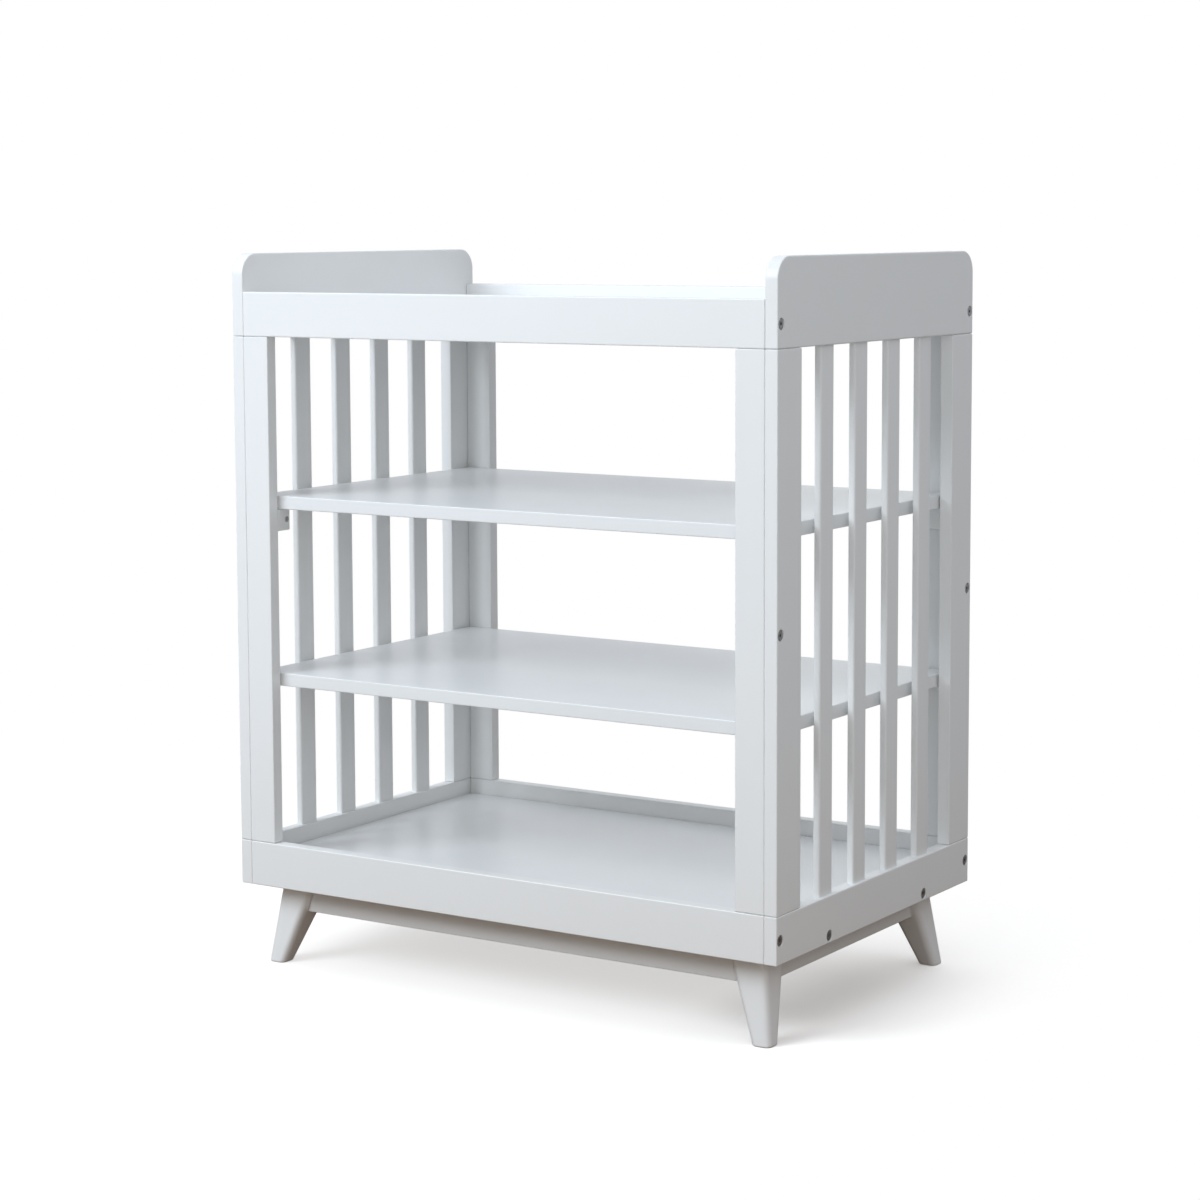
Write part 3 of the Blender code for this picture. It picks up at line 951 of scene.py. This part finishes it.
@dataclass
class WoodScrew:
    """A countersunk screw with a cross recess, seen by its head only.

    Attributes:
        effects: The shared node groups.
        head_radius: The radius of the head.
        shank_radius: The radius under the head.
        length: How far it goes in.
        recess_reach: The length of each arm of the cross.
        recess_width: The width of the arms.
        recess_depth: The depth of the cross.
        recess_taper: The size of the cross's floor, as a share of its mouth.
        head_sink: How far the head's rim lies below the wood's face.
        mouth_depth: How deep the straight mouth of its hole goes.
        point_length: The length of the pointed end.
        sides: How many points its rings have.
    """

    effects: SharedEffects
    head_radius: float = 0.0042
    shank_radius: float = 0.0020
    length: float = 0.016
    recess_reach: float = 0.0024
    recess_width: float = 0.0010
    recess_depth: float = 0.0016
    recess_taper: float = 0.55
    head_sink: float = 0.0006
    mouth_depth: float = 0.0004
    point_length: float = 0.003
    sides: int = 32

    def sink(self, place: Vector, inward: Vector) -> list[list[Vector]]:
        """The countersunk hole for the screw.

        Args:
            place: The middle of the head's face.
            inward: The direction into the wood.

        Returns:
            The hole's rings.
        """
        room = HAIRLINE
        taper = self.head_radius - self.shank_radius
        profile = (
            (-CUTTER_OVERRUN, self.head_radius + room),
            (self.mouth_depth, self.head_radius + room),
            (self.mouth_depth + taper, self.shank_radius + room),
            (self.length + room, self.shank_radius + room),
        )
        return turned(place, inward, profile, self.sides)

    def build(self, name: str, place: Vector, inward: Vector) -> bpy.types.Object:
        """Make one screw.

        Args:
            name: The screw's name.
            place: The middle of the head's face.
            inward: The direction into the wood.

        Returns:
            The screw's object.
        """
        taper = self.head_radius - self.shank_radius
        profile = (
            (0.0003, self.head_radius - 0.0005),
            (0.00035, self.head_radius - 0.0001),
            (self.head_sink, self.head_radius),
            (self.head_sink + taper, self.shank_radius),
            (self.length - self.point_length, self.shank_radius),
            (self.length, 0.0005),
        )
        mesh = bmesh.new()
        add_rings(mesh, turned(place, inward, profile, self.sides))
        recess = self._recess(place, inward)
        return Piece(name, SCREW_STEEL, Grain.UPRIGHT, self.effects).make(mesh, [recess])

    def _recess(self, place: Vector, inward: Vector) -> list[list[Vector]]:
        """The cross in the head, as one skin that narrows as it goes in.

        Args:
            place: The middle of the head's face.
            inward: The direction into the wood.

        Returns:
            The recess's rings.
        """
        across = inward.orthogonal().normalized()
        upright = inward.cross(across)
        half = self.recess_width / 2
        arm = ((self.recess_reach, -half), (self.recess_reach, half), (half, half))
        rings = []
        for depth, share in ((-CUTTER_OVERRUN, 1.0), (self.recess_depth, self.recess_taper)):
            ring = []
            for quarter in range(4):
                turn = Matrix.Rotation(quarter * math.pi / 2, 3, inward)
                for shadow_painted_out, wide in arm:
                    ring.append(place + inward * depth + turn @ (across * shadow_painted_out + upright * wide) * share)
            rings.append(ring)
        return rings


# ---------------------------------------------------------------- sub-assemblies


@dataclass
class SidePanel:
    """A slatted side panel: two rails, two posts and four slats.

    Attributes:
        side: Which panel it is.
        effects: The shared node groups.
        bolt: The bolts that go through it.
        corner_radius: The radius of the top rail's two upper corners.
        corner_steps: How many chords such a corner has.
        rim: The radius of the top rail's rims.
        slat_edge: The radius of the slats' edges.
        slat_edge_steps: How many chords such an edge has.
        slat_let_in: How far a slat's ends go into the rails.
    """

    side: Side
    effects: SharedEffects
    bolt: ConnectorBolt
    corner_radius: float = 0.029
    corner_steps: int = 14
    rim: float = 0.0016
    slat_edge: float = 0.0028
    slat_edge_steps: int = 5
    slat_let_in: float = 0.004

    @property
    def stem(self) -> str:
        """The start of the panel's node names."""
        return f"{self.side.label}_panel_"

    @property
    def outer_x(self) -> float:
        """Where the outer face lies."""
        low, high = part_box(self.stem + "bottom_rail")
        return high.x if self.side is Side.RIGHT else low.x

    def seams(self) -> tuple[float, float]:
        """The heights where the uprights start and end."""
        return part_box(self.stem + "bottom_rail")[1].z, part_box(self.stem + "top_rail")[0].z

    def build(self) -> None:
        """Make every piece of the panel."""
        self._top_rail()
        self._bottom_rail()
        for end in End:
            self._post(end)
        for index in range(1, 5):
            self._slat(index)

    def _counterbores(self, levels: Iterable[str]) -> list[list[list[Vector]]]:
        """The bores for the bolts at these levels, at the front and at the back."""
        nodes = [f"bolt_{self.side.label}_{end.label}_{level}" for end in End for level in levels]
        return [self.bolt.counterbore(node, self.outer_x) for node in nodes]

    def _piece(self, part: str, finish: Finish, grain: Grain) -> Piece:
        """A piece that takes the place of one of the panel's nodes."""
        return Piece(self.stem + part, finish, grain, self.effects, (self.stem + part,))

    def _top_rail(self) -> None:
        """The top rail, whose raised upper corners are round."""
        low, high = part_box(self.stem + "top_rail")
        outline = [(low.y, low.z), (high.y, low.z)]
        for sign, start in ((1, 0.0), (-1, math.pi / 2)):
            edge_y = high.y if sign > 0 else low.y
            for step in range(self.corner_steps + 1):
                angle = start + step / self.corner_steps * math.pi / 2
                y = edge_y - sign * self.corner_radius + self.corner_radius * math.cos(angle)
                outline.append((y, high.z - self.corner_radius + self.corner_radius * math.sin(angle)))
        mesh = bmesh.new()
        add_rings(mesh, [[Vector((x, y, z)) for y, z in outline] for x in (low.x, high.x)])
        bmesh.ops.recalc_face_normals(mesh, faces=mesh.faces)
        caps = [face for face in mesh.faces if len(face.verts) == len(outline)]
        rims = {edge for face in caps for edge in face.edges}
        square = [edge for edge in mesh.edges if edge.calc_face_angle(0.0) > math.radians(60)]
        bmesh.ops.bevel(
            mesh,
            geom=list(rims.union(square)),
            offset=self.rim,
            offset_type="OFFSET",
            segments=3,
            profile=0.5,
            affect="EDGES",
            clamp_overlap=True,
        )
        flats = sorted(mesh.faces, key=lambda face: -face.calc_area())[:6]
        bmesh.ops.inset_individual(mesh, faces=flats, thickness=self.rim)
        self._piece("top_rail", CASE_PAINT, Grain.DEEP).make(mesh, self._counterbores(["upper"]))

    def _bottom_rail(self) -> None:
        """The bottom rail."""
        board = Board.of_node(self.stem + "bottom_rail")
        piece = self._piece("bottom_rail", CASE_PAINT, Grain.DEEP)
        piece.make(board.mesh(), self._counterbores(["lower", "base"]))

    def _post(self, end: End) -> None:
        """A post from rail to rail.

        Args:
            end: Whether it is the front or the back post.
        """
        part = end.label + "_post"
        low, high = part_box(self.stem + part)
        bottom, top = self.seams()
        board = Board(Vector((low.x, low.y, bottom + HAIRLINE)), Vector((high.x, high.y, top - HAIRLINE)))
        node = f"bolt_{self.side.label}_{end.label}_middle"
        bores = [self.bolt.counterbore(node, self.outer_x)]
        self._piece(part, CASE_PAINT, Grain.UPRIGHT).make(board.mesh(), bores)

    def _slat(self, index: int) -> None:
        """A slat with well rounded edges, let into both rails.

        Args:
            index: Which slat it is, counted from the front.
        """
        part = f"slat_{index}"
        low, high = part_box(self.stem + part)
        bottom, top = self.seams()
        centre = ((low.x + high.x) / 2, (low.y + high.y) / 2)
        size = (high.x - low.x, high.y - low.y)
        outline = rounded_outline(centre, size, self.slat_edge, self.slat_edge_steps, guard=FLAT_GUARD)
        mesh = bmesh.new()
        ends = (bottom - self.slat_let_in, top + self.slat_let_in)
        levels = (ends[0], ends[0] + 0.0010, ends[1] - 0.0010, ends[1])
        add_rings(mesh, [[Vector((x, y, z)) for x, y in outline] for z in levels])
        self._piece(part, SLAT_PAINT, Grain.UPRIGHT).make(mesh)


@dataclass
class OpenFrame:
    """The front or back frame: two rails with two stiles between them.

    Attributes:
        end: Which frame it is.
        effects: The shared node groups.
    """

    end: End
    effects: SharedEffects

    def build(self) -> None:
        """Make the rails and the stiles."""
        for part in ("top_rail", "bottom_rail"):
            node = f"{self.end.label}_{part}"
            Piece(node, CASE_PAINT, Grain.ACROSS, self.effects, (node,)).make(Board.of_node(node).mesh())
        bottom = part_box(self.end.label + "_bottom_rail")[1].z
        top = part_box(self.end.label + "_top_rail")[0].z
        for side in Side:
            node = f"{self.end.label}_{side.label}_stile"
            low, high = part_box(node)
            low.z = bottom + HAIRLINE
            high.z = top - HAIRLINE
            Piece(node, CASE_PAINT, Grain.UPRIGHT, self.effects, (node,)).make(Board(low, high).mesh())


@dataclass
class Shelving:
    """The three shelves and the changing board, with what carries them.

    Attributes:
        effects: The shared node groups.
        screw: The screws through the corner blocks.
        board_edge: The radius of the shelves' edges.
        block_edge: The radius of the corner blocks' edges.
        screw_setback: How far a block's screw stands behind the block's middle.
        pin_radius: The radius of the pins under the middle shelf.
        pin_reach: How far a pin stands out of its post.
        pin_let_in: How far a pin goes into its post.
        pin_setback: How far the pins stand behind the table's front or back face.
        pin_sides: How many points a pin's rings have.
    """

    effects: SharedEffects
    screw: WoodScrew
    board_edge: float = 0.0012
    block_edge: float = 0.0016
    screw_setback: float = 0.0060
    pin_radius: float = 0.0025
    pin_reach: float = 0.0110
    pin_let_in: float = 0.0080
    pin_setback: float = 0.0430
    pin_sides: int = 28

    def build(self) -> None:
        """Make the boards, cleats, blocks, screws and pins."""
        for node in ("upper_shelf", "middle_shelf", "bottom_shelf", "changing_board"):
            board = Board.of_node(node, edge=self.board_edge)
            Piece(node, SHELF_LACQUER, Grain.ACROSS, self.effects, (node,)).make(board.mesh())
        for end in End:
            node = f"tray_{end.label}_cleat"
            Piece(node, SUPPORT_PAINT, Grain.ACROSS, self.effects, (node,)).make(Board.of_node(node).mesh())
            for side in Side:
                self._corner_block(end, side)
                self._pin(end, side)

    def _corner_block(self, end: End, side: Side) -> None:
        """A block under the upper shelf, and its screw.

        Args:
            end: The end of the table it is at.
            side: The side panel it is on.
        """
        node = f"corner_block_{end.label}_{side.label}"
        low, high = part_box(node)
        inner_x = low.x if side is Side.RIGHT else high.x
        middle = (low + high) / 2
        place = Vector((inner_x, middle.y - end.value * self.screw_setback, middle.z))
        inward = Vector((float(side.value), 0.0, 0.0))
        board = Board(low, high, edge=self.block_edge)
        piece = Piece(node, SUPPORT_PAINT, Grain.ACROSS, self.effects, (node,))
        piece.make(board.mesh(), [self.screw.sink(place, inward)])
        self.screw.build(f"block_screw_{end.label}_{side.label}", place, inward)

    def _pin(self, end: End, side: Side) -> None:
        """A plain pin that the middle shelf rests on.

        Args:
            end: The end of the table it is at.
            side: The side panel it is on.
        """
        shelf_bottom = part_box("middle_shelf")[0].z
        post_low, post_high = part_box(f"{side.label}_panel_{end.label}_post")
        face_x = post_low.x if side is Side.RIGHT else post_high.x
        edge_y = post_low.y if end is End.FRONT else post_high.y
        place = Vector((face_x, edge_y - end.value * self.pin_setback, shelf_bottom - self.pin_radius))
        inward = Vector((-float(side.value), 0.0, 0.0))
        profile = (
            (-self.pin_let_in, self.pin_radius * 0.8),
            (-self.pin_let_in + 0.0006, self.pin_radius),
            (HAIRLINE, self.pin_radius),
            (self.pin_reach - 0.0008, self.pin_radius),
            (self.pin_reach - 0.0003, self.pin_radius * 0.93),
            (self.pin_reach, self.pin_radius * 0.75),
        )
        mesh = bmesh.new()
        add_rings(mesh, turned(place, inward, profile, self.pin_sides))
        Piece(f"shelf_pin_{end.label}_{side.label}", PIN_STEEL, Grain.ACROSS, self.effects).make(mesh)


@dataclass
class LegBase:
    """The base: two battens, four splayed legs and four aprons.

    Attributes:
        effects: The shared node groups.
        top_size: The width of a leg at its top.
        top_inset: How far a leg's top is from the case's outer faces.
        foot_size: The width of a leg at the floor.
        foot_inset: How far a leg's foot is from the case's outer faces.
        top_round: The radius of a leg's long edges at its top.
        foot_round: The radius of a leg's long edges at the floor.
        foot_lip: The radius of the edge round a leg's foot.
        edge_steps: How many chords a long edge has.
        lip_steps: How many chords the edge round a foot has.
    """

    effects: SharedEffects
    top_size: float = 0.054
    top_inset: float = 0.039
    foot_size: float = 0.027
    foot_inset: float = 0.024
    top_round: float = 0.0095
    foot_round: float = 0.0090
    foot_lip: float = 0.0022
    edge_steps: int = 9
    lip_steps: int = 4

    def build(self) -> None:
        """Make the battens, legs and aprons."""
        for side in Side:
            node = f"base_batten_{side.label}"
            Piece(node, SUPPORT_PAINT, Grain.DEEP, self.effects, (node,)).make(Board.of_node(node).mesh())
        for end in End:
            for side in Side:
                self._leg(end, side)
        for end in End:
            self._apron(f"apron_{end.label}", axis=0)
        for side in Side:
            self._apron(f"apron_{side.label}", axis=1)

    def _leg(self, end: End, side: Side) -> None:
        """A leg, widest under the case and splayed outwards to its foot.

        Args:
            end: The end of the table it is at.
            side: The side of the table it is at.
        """
        node = f"leg_{end.label}_{side.label}"
        low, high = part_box(node)
        height = high.z - low.z
        case_low, case_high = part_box(f"{side.label}_panel_bottom_rail")
        corner = (
            case_high.x if side is Side.RIGHT else case_low.x,
            case_high.y if end is End.BACK else case_low.y,
        )
        signs = (side.value, end.value)
        foot = [corner[axis] - signs[axis] * self._reach(0.0) for axis in (0, 1)]
        head = [corner[axis] - signs[axis] * self._reach(1.0) for axis in (0, 1)]
        stations = []
        for step in range(self.lip_steps + 1):
            angle = step / self.lip_steps * math.pi / 2
            stations.append((self.foot_lip * (1 - math.cos(angle)), self.foot_lip * (1 - math.sin(angle))))
        stations += [(self.foot_lip * 1.8, 0.0), (height - 0.0010, 0.0), (height, 0.0)]
        rings = []
        for level, pull in stations:
            share = level / height
            centre = tuple(foot[axis] + (head[axis] - foot[axis]) * share for axis in (0, 1))
            size = self.foot_size + (self.top_size - self.foot_size) * share - 2 * pull
            radius = self.foot_round + (self.top_round - self.foot_round) * share - pull
            outline = rounded_outline(centre, (size, size), radius, self.edge_steps, guard=FLAT_GUARD)
            rings.append([Vector((x, y, low.z + level)) for x, y in outline])
        mesh = bmesh.new()
        add_rings(mesh, rings)
        Piece(node, LEG_PAINT, Grain.UPRIGHT, self.effects, (node,)).make(mesh)

    def _reach(self, share: float) -> float:
        """How far a leg's middle is from the case's outer faces, at a share of its height."""
        foot = self.foot_inset + self.foot_size / 2
        return foot + (self.top_inset + self.top_size / 2 - foot) * share

    def _apron(self, node: str, axis: int) -> None:
        """An apron whose ends follow the slanted inner faces of the legs.

        Args:
            node: The apron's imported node.
            axis: The axis it runs along: 0 for X, 1 for Y.
        """
        low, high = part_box(node)
        leg_low, leg_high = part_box("leg_front_left")
        widening = (self.top_size - self.foot_size) / 2
        lean = (self._reach(1.0) - self._reach(0.0) + widening) / (leg_high.z - leg_low.z)
        middle = (low + high)[axis] / 2

        def follow_legs(corner: Vector) -> Vector:
            """Draw the upper corners in.

            Args:
                corner: A corner of the plain board.

            Returns:
                Where the corner goes.
            """
            moved = corner.copy()
            moved[axis] -= math.copysign((corner.z - low.z) * lean, corner[axis] - middle)
            return moved

        grain = Grain.ACROSS if axis == 0 else Grain.DEEP
        mesh = Board(low, high).mesh(follow_legs)
        Piece(node, CASE_PAINT, grain, self.effects, (node,)).make(mesh)


@dataclass
class BoltSet:
    """The sixteen connector bolts.

    Attributes:
        bolt: The pattern for each of them.
        turn_step: How much further each socket is turned than the one before.
    """

    bolt: ConnectorBolt
    turn_step: float = math.radians(23)

    def build(self) -> None:
        """Make every bolt."""
        count = 0
        for side in Side:
            for end in End:
                for level in ("upper", "middle", "lower", "base"):
                    count += 1
                    self.bolt.build(f"bolt_{side.label}_{end.label}_{level}", count * self.turn_step)


# ---------------------------------------------------------------- studio


@dataclass(frozen=True)
class Softbox:
    """A square soft light.

    Attributes:
        name: The light's name.
        place: Where it hangs.
        target: What it points at.
        size: The length of its sides.
        power: Its power in watts.
        colour: Its colour.
    """

    name: str
    place: tuple[float, float, float]
    target: tuple[float, float, float]
    size: float
    power: float
    colour: Colour = (1.0, 1.0, 1.0)

    def build(self) -> None:
        """Hang the light."""
        data = bpy.data.lights.new(self.name, "AREA")
        data.shape = "SQUARE"
        data.size = self.size
        data.energy = self.power
        data.color = self.colour
        item = bpy.data.objects.new(self.name, data)
        item.location = self.place
        aim = Vector(self.target) - Vector(self.place)
        item.rotation_euler = aim.to_track_quat("-Z", "Y").to_euler()
        bpy.context.scene.collection.objects.link(item)


LIGHTS = (
    Softbox("key", (-1.5, -2.9, 2.4), (0.0, 0.0, 0.6), 1.8, 71.6, (0.915, 1.0, 1.074)),
    Softbox("fill", (2.6, -3.4, 1.2), (0.0, 0.0, 0.5), 2.2, 20.0, (1.02, 1.0, 0.93)),
    Softbox("rear", (-0.6, 3.4, 2.2), (0.0, 0.0, 0.6), 2.4, 8.0, (0.95, 1.0, 0.95)),
)


@dataclass
class Studio:
    """The pale floor, the soft lights and the camera.

    Attributes:
        horizon: The colour and strength of the light from low down all around.
        zenith: The colour and strength of the light from above.
        climb: Between which heights on the sphere the one turns into the other.
        mirrored: The colour and strength of the surroundings in the paint's sheen.
        backdrop: How bright the surroundings look.
        floor_half: Half the floor's width.
        floor_glow: The floor's own brightness where it catches shadows.
        floor_catch: How much light it shows on top of that, and so how dark its shadows are.
        near_bounce: The colour that the floor beside the table sends back to it.
        far_bounce: The colour that the floor further away sends back.
        bounce_radius: Where the one starts to turn into the other and where it has.
        shadow_core: From where to where along X the shadow grows to its full strength.
        shadow_side: From where to where along X it fades out again.
        shadow_back: From where to where along Y it fades out behind the table.
        shadow_share: How strong it is before it grows.
        camera_place: Where the camera stands.
        camera_yaw: How far it is turned about the vertical.
        camera_dip: How far it looks down.
        camera_roll: How far it leans to one side.
        camera_lens: Its focal length in millimetres.
        camera_shift: How far the picture is shifted up, as a share of its width.
    """

    horizon: Colour = (0.0, 0.0, 0.0)
    zenith: Colour = (0.717, 0.752, 0.798)
    climb: tuple[float, float] = (0.02, 0.45)
    mirrored: Colour = (0.791, 0.803, 0.833)
    backdrop: float = 1.0
    floor_half: float = 30.0
    floor_glow: float = 0.13
    floor_catch: Colour = (1.30, 1.26, 1.22)
    near_bounce: Colour = (0.215, 0.138, 0.085)
    far_bounce: Colour = (0.400, 0.390, 0.380)
    bounce_radius: tuple[float, float] = (0.6, 1.8)
    shadow_core: tuple[float, float] = (0.20, 0.42)
    shadow_side: tuple[float, float] = (0.42, 0.64)
    shadow_back: tuple[float, float] = (0.10, 0.85)
    shadow_share: float = 0.45
    camera_place: tuple[float, float, float] = (2.0939, -3.2447, 1.0241)
    camera_yaw: float = math.radians(32.896)
    camera_dip: float = math.radians(5.725)
    camera_roll: float = math.radians(-0.236)
    camera_lens: float = 85.445
    camera_shift: float = -0.080

    def build(self) -> None:
        """Set up everything round the table."""
        bpy.context.scene.view_settings.view_transform = "Standard"
        self._surroundings()
        self._floor()
        self._camera()
        for light in LIGHTS:
            light.build()

    def _surroundings(self) -> None:
        """White for the eye, and softer for what it sheds on the table."""
        world = bpy.data.worlds.new("studio")
        bpy.context.scene.world = world
        world.use_nodes = True
        graph = Graph(world.node_tree)
        shader = world.node_tree.nodes["Background"]
        path = graph.add("LightPath")
        white = opaque((self.backdrop,) * 3)
        parts = graph.add("SeparateXYZ")
        graph.feed(parts.inputs[0], graph.add("TexCoord").outputs["Generated"])
        height = graph.remap(parts.outputs["Z"], *self.climb)
        ambient = graph.blend(height, opaque(self.horizon), opaque(self.zenith))
        shed = graph.blend(path.outputs["Is Glossy Ray"], ambient, opaque(self.mirrored))
        graph.feed(shader.inputs["Color"], graph.blend(path.outputs["Is Camera Ray"], shed, white))

    def _floor(self) -> None:
        """A pale floor with soft cast shadows, which a mask set by floor position fades out into painted
        white glow.
        """
        mesh = bmesh.new()
        bmesh.ops.create_grid(mesh, x_segments=1, y_segments=1, size=self.floor_half)
        data = bpy.data.meshes.new("floor")
        mesh.to_mesh(data)
        mesh.free()
        floor = bpy.data.objects.new("floor", data)
        bpy.context.scene.collection.objects.link(floor)
        material = bpy.data.materials.new("pale_floor")
        material.use_nodes = True
        graph = Graph(material.node_tree)
        material.node_tree.nodes.remove(material.node_tree.nodes["Principled BSDF"])
        sink = material.node_tree.nodes["Material Output"]
        distance = graph.add("VectorMath", operation="LENGTH")
        graph.feed(distance.inputs[0], graph.add("TexCoord").outputs["Object"])
        parts = graph.add("SeparateXYZ")
        graph.feed(parts.inputs[0], distance.inputs[0].links[0].from_socket)
        # Painted shadow reach: cast shadows show at full strength only where the core, side and back ramps
        # allow; elsewhere the floor mixes to white glow, which paints them out by position, and the floor's
        # own glow paints them lighter.
        core = graph.remap(parts.outputs["X"], *self.shadow_core, self.shadow_share, 1.0)
        side = graph.remap(parts.outputs["X"], *self.shadow_side, 1.0, 0.0)
        back = graph.remap(parts.outputs["Y"], *self.shadow_back, 1.0, 0.0)
        kept = graph.math("MULTIPLY", graph.math("MULTIPLY", core, side), back)
        shadow_painted_out = graph.math("SUBTRACT", 1.0, kept)
        catching = graph.add("BsdfDiffuse")
        catching.inputs["Color"].default_value = opaque(self.floor_catch)
        glow = graph.add("Emission")
        glow.inputs["Strength"].default_value = self.floor_glow
        near = graph.add("AddShader")
        graph.feed(near.inputs[0], catching.outputs[0])
        graph.feed(near.inputs[1], glow.outputs[0])
        white = graph.add("Emission")
        seen = self._mixed(graph, shadow_painted_out, near.outputs[0], white.outputs[0])
        bounce = graph.add("BsdfDiffuse")
        away = graph.remap(distance.outputs["Value"], *self.bounce_radius)
        shade = graph.blend(away, opaque(self.near_bounce), opaque(self.far_bounce))
        graph.feed(bounce.inputs["Color"], shade)
        looked_at = graph.add("LightPath").outputs["Is Camera Ray"]
        graph.feed(sink.inputs["Surface"], self._mixed(graph, looked_at, bounce.outputs[0], seen))
        data.materials.append(material)

    @staticmethod
    def _mixed(
        graph: Graph, share: bpy.types.NodeSocket, first: bpy.types.NodeSocket, second: bpy.types.NodeSocket
    ) -> bpy.types.NodeSocket:
        """Mix two shaders: share 0 is the first, share 1 is the second.

        Args:
            graph: The tree to build in.
            share: How much of the second there is.
            first: The first shader.
            second: The second shader.

        Returns:
            The mixed shader.
        """
        node = graph.add("MixShader")
        for socket, value in zip(node.inputs, (share, first, second)):
            graph.feed(socket, value)
        return node.outputs[0]

    def _camera(self) -> None:
        """The camera, a little above the table's top and to its right."""
        data = bpy.data.cameras.new("camera")
        data.lens = self.camera_lens
        data.shift_y = self.camera_shift
        data.clip_end = 200.0
        camera = bpy.data.objects.new("camera", data)
        turn = Matrix.Rotation(self.camera_yaw, 4, "Z")
        dip = Matrix.Rotation(math.pi / 2 - self.camera_dip, 4, "X")
        roll = Matrix.Rotation(self.camera_roll, 4, "Z")
        camera.matrix_world = Matrix.Translation(self.camera_place) @ turn @ dip @ roll
        bpy.context.scene.collection.objects.link(camera)
        bpy.context.scene.camera = camera


def main() -> None:
    """Build the table around its frame, and the studio around the table."""
    logging.basicConfig(level=logging.INFO, format="%(name)s: %(message)s")
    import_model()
    Studio().build()
    effects = SharedEffects()
    bolt = ConnectorBolt(effects)
    for side in Side:
        SidePanel(side, effects, bolt).build()
    for end in End:
        OpenFrame(end, effects).build()
    Shelving(effects, WoodScrew(effects)).build()
    LegBase(effects).build()
    BoltSet(bolt).build()


if __name__ == "__main__":
    main()
